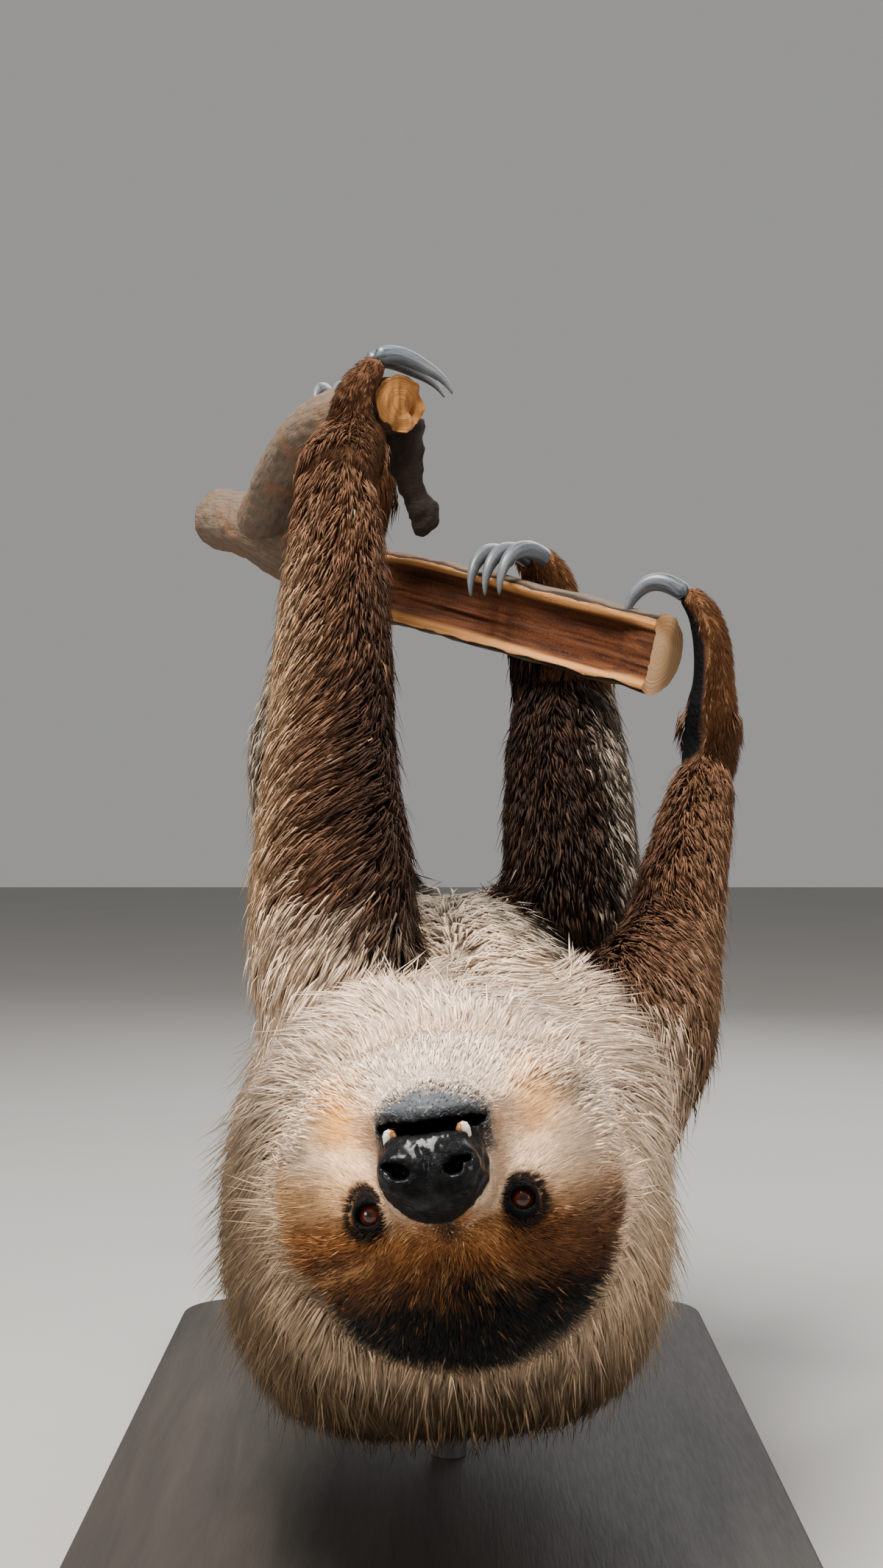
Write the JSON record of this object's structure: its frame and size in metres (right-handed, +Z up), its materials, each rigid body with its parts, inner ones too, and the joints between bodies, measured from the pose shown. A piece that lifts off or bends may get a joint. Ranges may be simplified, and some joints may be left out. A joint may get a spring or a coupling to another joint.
{
  "type": "two-toed sloth",
  "caption": "Life-size museum model of a two-toed sloth hanging belly up by its limbs from a short forked perch, on a flat stand.",
  "frame": {"origin": "under the centre of the whole thing's box, on the surface that the base stands on", "axes": "+Z up; the animal hangs belly up with its nose towards -Y and its rump towards +Y; +X is the animal's own right side, and the picture's right"},
  "size_m": [0.312, 0.6891, 0.5499],
  "materials": {
    "coat_pale": "long shaggy fur",
    "coat_brown": "shaggy fur",
    "coat_crown": "short to medium fur",
    "bare_skin": "bare moist skin, satin",
    "eye": "gloss",
    "claw": "smooth horn, satin",
    "tooth": "stained tooth, satin",
    "bark": "rough weathered bark",
    "stand_wood": "black-stained board, satin",
    "stand_metal": "satin black paint"
  },
  "bodies": {
    "root": {"trunk": "coat_pale", "neck": "coat_pale", "head": "coat_crown", "jaw": "bare_skin", "eye_left": "eye", "eye_right": "eye", "ear_left": "coat_brown", "ear_right": "coat_brown", "tooth_left": "tooth", "tooth_right": "tooth", "upper_arm_left": "coat_brown", "forearm_left": "coat_brown", "hand_left": "coat_brown", "thigh_left": "coat_brown", "shank_left": "coat_brown", "foot_left": "coat_brown", "claw_hand_left_1": "claw", "claw_hand_left_2": "claw", "claw_foot_left_1": "claw", "claw_foot_left_2": "claw", "claw_foot_left_3": "claw", "upper_arm_right": "coat_brown", "forearm_right": "coat_brown", "hand_right": "coat_brown", "thigh_right": "coat_brown", "shank_right": "coat_brown", "foot_right": "coat_brown", "claw_hand_right_1": "claw", "claw_hand_right_2": "claw", "claw_foot_right_1": "claw", "claw_foot_right_2": "claw", "claw_foot_right_3": "claw", "perch_log": "bark", "perch_branch": "bark", "stand_base": "stand_wood", "stand_collar": "stand_metal", "stand_post": "stand_metal", "stand_saddle": "stand_metal", "stand_rod": "stand_metal"}
  },
  "joints": []
}
